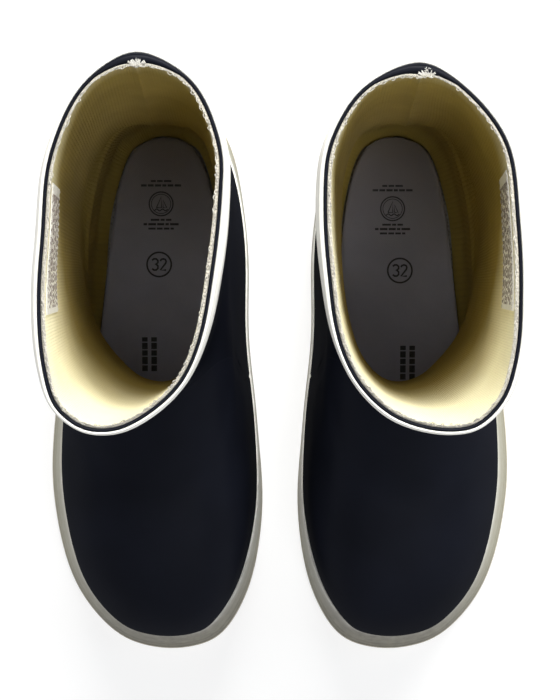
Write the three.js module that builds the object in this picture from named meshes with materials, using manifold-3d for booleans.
// A pair of short rubber deck boots, standing side by side on the floor at z = 0.
// Millimetres. +Z is up, the toes point to -Y, the right boot stands at -X and the left one at +X.
// Each boot is built up like a real one: a knitted lining and its stiffeners inside a rubber vamp and
// leg, on a board, a sponge filler and a treaded outsole, held together by a foxing band all round.

import * as THREE from 'three';
import { mergeVertices } from 'three/addons/utils/BufferGeometryUtils.js';
import Module from 'manifold-3d';

const wasm = await Module();
wasm.setup();

// ---------------------------------------------------------------- driving dimensions

const BOOT_HEIGHT = 250;
const CENTRE_LINE = 52;          // from the plane between the boots to each boot's own centre line
const COLUMNS = 36;              // facets round a boot
const GAP = 0.3;                 // between pieces that lie against each other

const RUBBER = 1.4;              // rubber sheet of the vamp and the leg
const LINING = 1.3;              // knitted lining
const STIFFENER = 0.9;           // toe puff and heel counter, between rubber and lining
// White band round the top of the leg; it is thinner where the leg leans inwards beside the instep.
const TOP_BAND = { ends: 1.5, sides: 2.7, innerSide: 0.3, height: 18, thinner: 1.2, thinAt: 0.165, thinReach: 0.085 };
const BACKSTAY = [1.9, 0.8];     // thickness of the strip inside the back seam: middle, edges
const LABEL = 0.5;
const LABEL_TOP = 247;
const LABEL_BOTTOM = 216;

const OUTSOLE = 5;
const FILLER = 10;
const BOARD = 2;
const FOOTBED_FOAM = 3.6;
const FOOTBED_COVER = 1.2;
const FOOTBED_PLAY = 1.4;        // between the footbed's edge and the lining
const FOXING_HEIGHT = 24;        // top of the foxing band above the bottom of the outsole
const FOXING_LIP = 1.3;
const FOXING_SHOULDER = { reach: 0.3, drop: 1.6 };   // below the lip, where the flare begins
const HEEL_BLOCK = 5;
const HEEL_FRONT = 40;           // where the heel block begins
const RISE_START = -15;          // the outsole leaves the floor here and climbs on to the heel block
const TOE_TIP = -114;            // front end of the outsole
const TOE_SPRING = 5;            // lift of the toe tip
const SPRING_START = -70;
const FOXING_SETBACK = 0.4;      // the foxing and the heel block stand back a little from the sole's edge
const HEEL_SETBACK = 0.5;

// Grooves across the tread: the margin is what is left beside them, and reach is how much of the edge
// on each side of a groove that margin is kept from.
const GROOVE = { width: 2, depth: 1.6, pitch: 9, margin: 9, reach: 16 };
const FOREFOOT_GROOVES = { first: -66, last: -21 };
const HEEL_GROOVES = { first: 53, last: 89 };
const SHANK = { width: 14, thickness: 1.6, front: -40, back: 64, taper: 5, steps: 8 };
const OVERRUN = 5;               // how far a cutter reaches past the solid that it cuts

// Outlines run round the boot from the front middle by the inner side of the foot, the back middle
// and the outer side. Across is positive towards the other boot, along is positive to the heel.
const SOLE_OUTLINE = [
  [6.4, TOE_TIP], [26, -109], [38.4, -90], [44.5, -57], [42.6, -21], [39, 16], [38, 60], [27.5, 103],
  [4, 114], [-19.5, 104], [-32, 72], [-36, 25], [-42.5, -17], [-43, -50], [-33.5, -87], [-15, -108.3],
];
const ANKLE_OUTLINE = [
  [7, -4.7], [15, -2], [22.5, 6.5], [27.5, 20], [30.5, 38], [31, 57], [29.5, 77], [22, 95],
  [3, 102], [-16.5, 94], [-26.5, 72], [-27.5, 49], [-25, 31], [-20, 16], [-12.5, 5.5], [-3, -2.5],
];
// The mouths of the two soft legs stand open a little differently.
const RIGHT_RIM = [
  [-3, -20.2], [9, -14.5], [20, -4], [27.5, 11.5], [32.5, 33], [35.5, 58], [34.9, 78.2], [24.1, 101],
  [3.5, 111.2], [-15.5, 100], [-27.8, 75.2], [-31, 48], [-32.5, 25], [-30.8, 3.3], [-25.8, -11.5], [-15.2, -19.6],
];
const LEFT_RIM = [
  [-2.5, -20.4], [14, -15.5], [26, -4.5], [34, 11.5], [38.3, 33], [40, 58], [37.5, 79], [25.1, 98.6],
  [4, 107.6], [-13, 98.3], [-27.5, 79.6], [-32, 52.1], [-33.1, 26], [-31.7, 7.3], [-26.3, -9], [-15.8, -18.8],
];
const BOOTS = [
  { name: 'right', side: -1, rim: RIGHT_RIM },
  { name: 'left', side: 1, rim: LEFT_RIM },
];

// Rings of the boot's outer surface, from the sole up. The three lowest follow the sole's edge, and
// come close to it along the inner waist and ball. The lowest one is lasted under the foot.
const SOLE_RINGS = [
  { inset: 12.5, fuller: 3.5, z: OUTSOLE + FILLER + 2 * GAP },
  { inset: 7.5, fuller: 5.3, z: FOXING_HEIGHT },
  { inset: 7.1, fuller: 5.3, z: 40 },
];
const INNER_SIDE = { ball: [0.06, 0.27], heel: [0.38, 0.48] };
// Each ring over the foot is a blend of the sole's and the ankle's outline, fitted between limits.
const FOOT_RINGS = [
  { front: -100, back: 107.5, inner: 39.5, outer: -35, zFront: 57, zBack: 60, ankle: 0.1 },
  { front: -83, back: 106.5, inner: 36, outer: -32, zFront: 67, zBack: 73, ankle: 0.3 },
  { front: -55, back: 104.5, inner: 33.5, outer: -30, zFront: 77, zBack: 84, ankle: 0.55 },
  { front: -28, back: 102.5, inner: 32, outer: -28.5, zFront: 88, zBack: 94, ankle: 0.8 },
  { front: -7.5, back: 102, inner: 31.3, outer: -27.8, zFront: 100, zBack: 104, ankle: 1 },
];
const ANKLE_HEIGHT = 122;
const LEG_HEIGHTS = [ANKLE_HEIGHT, 170, LABEL_BOTTOM, BOOT_HEIGHT - TOP_BAND.height, LABEL_TOP, BOOT_HEIGHT];
const THROAT_ROW = SOLE_RINGS.length + FOOT_RINGS.length - 1;
const TOP_ROW = THROAT_ROW + LEG_HEIGHTS.length;
const VAMP_COLUMNS = 10;         // facets of the vamp each side of the toe
const PUFF_COLUMNS = 5;
const COUNTER_COLUMNS = 6;
const STIFFENER_ROWS = 4;
const LABEL_COLUMNS = [24, 28];

const BACK = COLUMNS / 2;
const FILLER_TOP = OUTSOLE + GAP + FILLER;

// ---------------------------------------------------------------- materials

const MATERIALS = {
  navyRubber: { color: '#171a24', roughness: 0.42, metalness: 0 },
  whiteRubber: { color: '#e9e7df', roughness: 0.5, metalness: 0 },
  soleRubber: { color: '#d8d5ca', roughness: 0.6, metalness: 0 },
  knit: { color: '#e6dcb8', roughness: 0.95, metalness: 0 },
  stiffener: { color: '#8d7d61', roughness: 0.9, metalness: 0 },
  board: { color: '#b79b6c', roughness: 0.9, metalness: 0 },
  sponge: { color: '#b9b4a6', roughness: 0.95, metalness: 0 },
  shankNylon: { color: '#3b3b3d', roughness: 0.5, metalness: 0 },
  foam: { color: '#6d6f73', roughness: 0.95, metalness: 0 },
  footbedFabric: { color: '#8c8e92', roughness: 0.95, metalness: 0 },
  label: { color: '#efeee6', roughness: 0.9, metalness: 0 },
};

// ---------------------------------------------------------------- closed solids from quads

class Solid {
  constructor() {
    this.points = [];
  }

  triangle(a, b, c) {
    this.points.push(a, b, c);
  }

  quad(a, b, c, d) {
    this.triangle(a, b, c);
    this.triangle(a, c, d);
  }

  geometry() {
    const geometry = new THREE.BufferGeometry().setFromPoints(this.points);
    return mergeVertices(geometry, 1e-5);
  }
}

// A solid ring, from one closed section for each column. A section runs clockwise when it is looked at
// along the direction of travel.
function ringSolid(sections) {
  const solid = new Solid();
  sections.forEach((section, i) => {
    const next = sections[(i + 1) % sections.length];
    section.forEach((point, k) => {
      const after = (k + 1) % section.length;
      solid.quad(section[after], point, next[k], next[after]);
    });
  });
  return solid.geometry();
}

// A plate with the outline given, between two heights that change along the foot.
function plateSolid(outline, bottom, top) {
  const solid = new Solid();
  const low = outline.map((p) => new THREE.Vector3(p.x, p.y, bottom(p.y)));
  const high = outline.map((p) => new THREE.Vector3(p.x, p.y, top(p.y)));
  const count = outline.length;
  for (let k = 0; k < count; k += 1) {
    const next = (k + 1) % count;
    solid.quad(low[k], low[next], high[next], high[k]);
  }
  for (let k = 0; k < count / 2; k += 1) {
    const across = (count - k) % count;
    const acrossNext = count - k - 1;
    if (k === 0) {
      solid.triangle(high[0], high[1], high[acrossNext]);
      solid.triangle(low[0], low[acrossNext], low[1]);
    } else if (k + 1 === acrossNext) {
      solid.triangle(high[k], high[k + 1], high[across]);
      solid.triangle(low[k], low[across], low[k + 1]);
    } else {
      solid.quad(high[k], high[k + 1], high[acrossNext], high[across]);
      solid.quad(low[k], low[across], low[acrossNext], low[k + 1]);
    }
  }
  return solid.geometry();
}

// ---------------------------------------------------------------- cuts

function toManifold(geometry) {
  const bare = new THREE.BufferGeometry();
  bare.setAttribute('position', geometry.getAttribute('position'));
  if (geometry.index) bare.setIndex(geometry.index);
  const merged = mergeVertices(bare, 1e-5);
  return new wasm.Manifold(new wasm.Mesh({
    numProp: 3,
    vertProperties: new Float32Array(merged.getAttribute('position').array),
    triVerts: new Uint32Array(merged.index.array),
  }));
}

function subtract(geometry, cutters) {
  let solid = toManifold(geometry);
  for (const cutter of cutters) {
    solid = solid.subtract(toManifold(cutter));
  }
  const mesh = solid.getMesh();
  const result = new THREE.BufferGeometry();
  result.setAttribute('position', new THREE.BufferAttribute(new Float32Array(mesh.vertProperties), 3));
  result.setIndex(Array.from(mesh.triVerts));
  return result;
}

function box(lowX, highX, lowY, highY, lowZ, highZ) {
  const geometry = new THREE.BoxGeometry(highX - lowX, highY - lowY, highZ - lowZ);
  geometry.translate((lowX + highX) / 2, (lowY + highY) / 2, (lowZ + highZ) / 2);
  return geometry;
}

// ---------------------------------------------------------------- outlines

function closedCurve(outline) {
  const points = outline.map(([across, along]) => new THREE.Vector3(across, along, 0));
  return new THREE.CatmullRomCurve3(points, true, 'centripetal');
}

function samples(outline) {
  const curve = closedCurve(outline);
  return Array.from({ length: COLUMNS }, (_, i) => curve.getPoint(i / COLUMNS));
}

const soleEdge = samples(SOLE_OUTLINE);

// The same outline moved inwards; the inset may differ from column to column.
function insetOutline(points, inset) {
  return points.map((point, i) => {
    const before = points[(i + COLUMNS - 1) % COLUMNS];
    const after = points[(i + 1) % COLUMNS];
    const inward = new THREE.Vector3(before.y - after.y, after.x - before.x, 0).normalize();
    return point.clone().addScaledVector(inward, inset(i));
  });
}

// How far the bottom of the outsole stands above the floor: toe spring in front, heel at the back.
function rise(y) {
  const spring = TOE_SPRING * Math.max(0, (SPRING_START - y) / (SPRING_START - TOE_TIP)) ** 2;
  const heel = (HEEL_BLOCK + GAP) * THREE.MathUtils.smoothstep(y, RISE_START, HEEL_FRONT - 2);
  return spring + heel;
}

const above = (height) => (y) => rise(y) + height;

// ---------------------------------------------------------------- the outer surface of a boot

function footInset({ inset, fuller }) {
  const { smoothstep } = THREE.MathUtils;
  return (i) => {
    const round = i / COLUMNS;
    const onInnerSide = smoothstep(round, ...INNER_SIDE.ball) * (1 - smoothstep(round, ...INNER_SIDE.heel));
    return inset - fuller * onInnerSide;
  };
}

function fittedRing(ring) {
  const ankle = samples(ANKLE_OUTLINE);
  const blend = soleEdge.map((point, i) => point.clone().lerp(ankle[i], ring.ankle));
  const { min, max } = new THREE.Box3().setFromPoints(blend);
  const fit = THREE.MathUtils.mapLinear;
  return blend.map((point) => new THREE.Vector3(
    fit(point.x, min.x, max.x, ring.outer, ring.inner),
    fit(point.y, min.y, max.y, ring.front, ring.back),
    fit(point.y, min.y, max.y, ring.zFront, ring.zBack),
  ));
}

// The white band is thicker at the sides of the leg than in front and behind.
function bandThickness(i) {
  const side = Math.sin((2 * Math.PI * i) / COLUMNS);
  const { ends, sides, innerSide, thinner, thinAt, thinReach } = TOP_BAND;
  const thin = thinner * Math.exp(-(((i / COLUMNS - thinAt) / thinReach) ** 2));
  return ends + (sides - ends) * side ** 2 + innerSide * side - thin;
}

function legRing(z, rim) {
  const share = (z - ANKLE_HEIGHT) / (BOOT_HEIGHT - ANKLE_HEIGHT);
  const top = insetOutline(samples(rim), (i) => bandThickness(i) + GAP);
  return samples(ANKLE_OUTLINE).map((point, i) => point.lerp(top[i], share).setZ(z));
}

// The grid that all the skins of a boot share: a point and an outward normal for each row and column.
function bootGrid(rim) {
  const soleRings = SOLE_RINGS.map((ring) => insetOutline(soleEdge, footInset(ring))
    .map((p) => new THREE.Vector3(p.x, p.y, ring.z + rise(p.y))));
  const footRings = FOOT_RINGS.map((ring) => fittedRing(ring));
  const legRings = LEG_HEIGHTS.map((z) => legRing(z, rim));
  const rows = [...soleRings, ...footRings, ...legRings];
  const at = (i, j) => rows[j][(i + COLUMNS) % COLUMNS];
  const normals = rows.map((row, j) => row.map((_, i) => {
    const along = at(i + 1, j).clone().sub(at(i - 1, j));
    const up = at(i, Math.min(j + 1, TOP_ROW)).clone().sub(at(i, Math.max(j - 1, 0)));
    const normal = along.cross(up);
    if (j === 0 || j === TOP_ROW) normal.z = 0;
    return normal.normalize();
  }));
  const normalAt = (i, j) => normals[j][(i + COLUMNS) % COLUMNS];
  return { at, normalAt };
}

// Signed columns: 0 is the toe's middle, positive is the inner side, negative the outer side.
const fromToe = (i) => ((i + BACK) % COLUMNS) - BACK;
const fromBack = (i) => i - BACK;

const isVamp = (i, j) => j < THROAT_ROW && fromToe(i) >= -VAMP_COLUMNS && fromToe(i) < VAMP_COLUMNS;
const isPuff = (i, j) => j < STIFFENER_ROWS && fromToe(i) >= -PUFF_COLUMNS && fromToe(i) < PUFF_COLUMNS;
const isCounter = (i, j) => (
  j < STIFFENER_ROWS && fromBack(i) >= -COUNTER_COLUMNS && fromBack(i) < COUNTER_COLUMNS
);
const isBackstay = (i, j) => j > STIFFENER_ROWS && Math.abs(fromBack(i) + 0.5) < 1;
const isTopBand = (i, j) => j >= TOP_ROW - 2;
const isLabel = (i, j) => (
  i >= LABEL_COLUMNS[0] && i < LABEL_COLUMNS[1] && j >= TOP_ROW - 3 && j < TOP_ROW - 1
);

const UNDER_RUBBER = RUBBER + GAP;

// Depth of the lining's outer face below the boot's outer surface: it makes room for what lies behind.
function liningDepth(i, j) {
  const column = i % COLUMNS;
  const onPuff = j <= STIFFENER_ROWS && Math.abs(fromToe(column)) <= PUFF_COLUMNS;
  const onCounter = j <= STIFFENER_ROWS && Math.abs(fromBack(column)) <= COUNTER_COLUMNS;
  if (onPuff || onCounter) return UNDER_RUBBER + STIFFENER + GAP;
  const offMiddle = Math.abs(fromBack(column));
  if (j > STIFFENER_ROWS && offMiddle < BACKSTAY.length) return UNDER_RUBBER + BACKSTAY[offMiddle] + GAP;
  return UNDER_RUBBER;
}

const liningInside = (i, j) => liningDepth(i, j) + LINING;

// The solid between two depths below the outer surface, over the cells that belong to the piece.
function skin(grid, belongs, outerDepth, innerDepth, seam = (i, j) => grid.at(i, j).clone()) {
  const solid = new Solid();
  const inCell = (i, j) => j >= 0 && j < TOP_ROW && belongs((i + COLUMNS) % COLUMNS, j);
  const place = (i, j, depth) => seam(i % COLUMNS, j)
    .addScaledVector(grid.normalAt(i, j), -depth(i % COLUMNS, j));
  for (let j = 0; j < TOP_ROW; j += 1) {
    for (let i = 0; i < COLUMNS; i += 1) {
      if (!inCell(i, j)) continue;
      const corners = [[i, j], [i + 1, j], [i + 1, j + 1], [i, j + 1]];
      const out = corners.map(([a, b]) => place(a, b, outerDepth));
      const into = corners.map(([a, b]) => place(a, b, innerDepth));
      solid.quad(out[0], out[1], out[2], out[3]);
      solid.triangle(into[0], into[2], into[1]);
      solid.triangle(into[0], into[3], into[2]);
      const neighbours = [[i, j - 1], [i + 1, j], [i, j + 1], [i - 1, j]];
      neighbours.forEach(([a, b], edge) => {
        const next = (edge + 1) % 4;
        if (!inCell(a, b)) solid.quad(out[edge], into[edge], into[next], out[next]);
      });
    }
  }
  return solid.geometry();
}

// The leg stands back by a gap from the vamp along the seam between them.
function legSeam(grid) {
  return (i, j) => {
    const place = grid.at(i, j).clone();
    const column = fromToe(i);
    if (j > THROAT_ROW || Math.abs(column) > VAMP_COLUMNS) return place;
    const towards = (target) => place.add(target.clone().sub(place).setLength(GAP));
    if (j === THROAT_ROW) towards(grid.at(i, j + 1));
    if (Math.abs(column) === VAMP_COLUMNS) towards(grid.at(i + Math.sign(column), j));
    return place;
  };
}

const depth = (value) => () => value;

// ---------------------------------------------------------------- the pieces of one boot

function upperPieces(grid) {
  const backstayDepth = (i) => UNDER_RUBBER + BACKSTAY[Math.abs(fromBack(i))];
  return {
    vamp: [skin(grid, isVamp, depth(0), depth(RUBBER)), MATERIALS.navyRubber],
    leg: [
      skin(grid, (i, j) => !isVamp(i, j), depth(0), depth(RUBBER), legSeam(grid)),
      MATERIALS.navyRubber,
    ],
    backstay: [skin(grid, isBackstay, depth(UNDER_RUBBER), backstayDepth), MATERIALS.navyRubber],
    top_band: [
      skin(grid, isTopBand, (i) => -bandThickness(i) - GAP, depth(-GAP)),
      MATERIALS.whiteRubber,
    ],
    toe_puff: [
      skin(grid, isPuff, depth(UNDER_RUBBER), depth(UNDER_RUBBER + STIFFENER)),
      MATERIALS.stiffener,
    ],
    heel_counter: [
      skin(grid, isCounter, depth(UNDER_RUBBER), depth(UNDER_RUBBER + STIFFENER)),
      MATERIALS.stiffener,
    ],
    lining: [skin(grid, () => true, liningDepth, liningInside), MATERIALS.knit],
    label: [
      skin(grid, isLabel, (i, j) => liningInside(i, j) + GAP, (i, j) => liningInside(i, j) + GAP + LABEL),
      MATERIALS.label,
    ],
  };
}

// The white band round the sole: it flares to the floor and has a flat lip on top.
function foxing(grid) {
  const edge = insetOutline(soleEdge, () => FOXING_SETBACK);
  const bottom = above(OUTSOLE + GAP);
  return ringSolid(edge.map((foot, i) => {
    const outward = (j, reach) => grid.at(i, j).clone().addScaledVector(grid.normalAt(i, j), reach);
    const base = new THREE.Vector3(foot.x, foot.y, bottom(foot.y));
    const lipInside = outward(1, GAP);
    const lipOutside = outward(1, GAP + FOXING_LIP);
    const shoulder = outward(1, GAP + FOXING_LIP + FOXING_SHOULDER.reach);
    shoulder.z -= FOXING_SHOULDER.drop;
    const behind = outward(0, GAP);
    const foundation = new THREE.Vector3(behind.x, behind.y, bottom(behind.y));
    return [base, shoulder, lipOutside, lipInside, behind, foundation];
  }));
}

// Straight grooves across the tread, clear of its edges.
function grooves(outline, { first, last }) {
  const { width, depth: deep, pitch, margin, reach } = GROOVE;
  const cutters = [];
  for (let y = first; y <= last; y += pitch) {
    const near = outline.filter((p) => Math.abs(p.y - y) < reach).map((p) => p.x);
    const inner = Math.min(...near.filter((x) => x > 0)) - margin;
    const outer = Math.max(...near.filter((x) => x < 0)) + margin;
    cutters.push(box(outer, inner, y - width / 2, y + width / 2, -OVERRUN, deep));
  }
  return cutters;
}

function heelBlock() {
  const outline = insetOutline(soleEdge, () => HEEL_SETBACK);
  const slab = plateSolid(outline, () => 0, () => HEEL_BLOCK);
  const half = CENTRE_LINE + OVERRUN;
  const front = box(-half, half, TOE_TIP - OVERRUN, HEEL_FRONT, -OVERRUN, HEEL_BLOCK + OVERRUN);
  return subtract(slab, [front, ...grooves(outline, HEEL_GROOVES)]);
}

// A flat bar along the waist that bends with the rise of the heel. With something to spare it is the
// cutter for its own seat.
function shank(spare) {
  const { width, thickness, front, back, taper, steps } = SHANK;
  const half = width / 2 + spare;
  const side = Array.from({ length: steps + 1 }, (_, k) => (
    new THREE.Vector3(half, THREE.MathUtils.lerp(front + taper, back - taper, k / steps), 0)
  ));
  const otherSide = side.map((p) => new THREE.Vector3(-p.x, p.y, 0)).reverse();
  const frontEnd = new THREE.Vector3(0, front - spare, 0);
  const backEnd = new THREE.Vector3(0, back + spare, 0);
  const top = FILLER_TOP - GAP;
  const bottom = top - thickness - spare;
  return plateSolid([frontEnd, ...side, backEnd, ...otherSide], above(bottom), above(top + OVERRUN * spare));
}

function solePieces(grid) {
  const upperEdge = Array.from({ length: COLUMNS }, (_, i) => grid.at(i, 0));
  const insideEdge = (play) => upperEdge.map((p, i) => p.clone()
    .addScaledVector(grid.normalAt(i, 0), -liningInside(i, 0) - play));
  const boardTop = FILLER_TOP + GAP + BOARD;
  const foamTop = boardTop + GAP + FOOTBED_FOAM;
  const outsole = plateSolid(soleEdge, above(0), above(OUTSOLE));
  const filler = plateSolid(upperEdge, above(OUTSOLE + GAP), above(FILLER_TOP));
  return {
    outsole: [subtract(outsole, grooves(soleEdge, FOREFOOT_GROOVES)), MATERIALS.soleRubber],
    heel_block: [heelBlock(), MATERIALS.soleRubber],
    foxing: [foxing(grid), MATERIALS.whiteRubber],
    filler: [subtract(filler, [shank(GAP)]), MATERIALS.sponge],
    shank: [shank(0), MATERIALS.shankNylon],
    insole_board: [
      plateSolid(insideEdge(GAP), above(FILLER_TOP + GAP), above(boardTop)),
      MATERIALS.board,
    ],
    footbed_foam: [
      plateSolid(insideEdge(FOOTBED_PLAY), above(boardTop + GAP), above(foamTop)),
      MATERIALS.foam,
    ],
    footbed_cover: [
      plateSolid(insideEdge(FOOTBED_PLAY), above(foamTop + GAP), above(foamTop + GAP + FOOTBED_COVER)),
      MATERIALS.footbedFabric,
    ],
  };
}

// ---------------------------------------------------------------- the pair

// The left boot is the right boot's mirror image, so its faces are turned over again.
function placed(geometry, side) {
  const result = geometry.clone();
  result.applyMatrix4(new THREE.Matrix4().makeScale(-side, 1, 1));
  result.translate(side * CENTRE_LINE, 0, 0);
  if (side > 0) {
    const order = Array.from(result.index.array);
    for (let k = 0; k < order.length; k += 3) {
      [order[k], order[k + 1]] = [order[k + 1], order[k]];
    }
    result.setIndex(order);
  }
  result.computeVertexNormals();
  return result;
}

function boot(spec) {
  const group = new THREE.Group();
  const grid = bootGrid(spec.rim);
  const pieces = { ...solePieces(grid), ...upperPieces(grid) };
  for (const [piece, [geometry, look]] of Object.entries(pieces)) {
    const mesh = new THREE.Mesh(placed(geometry, spec.side), new THREE.MeshStandardMaterial(look));
    mesh.name = `${spec.name}_${piece}`;
    group.add(mesh);
  }
  return group;
}

const pair = new THREE.Group();
for (const spec of BOOTS) {
  pair.add(boot(spec));
}

export default pair;
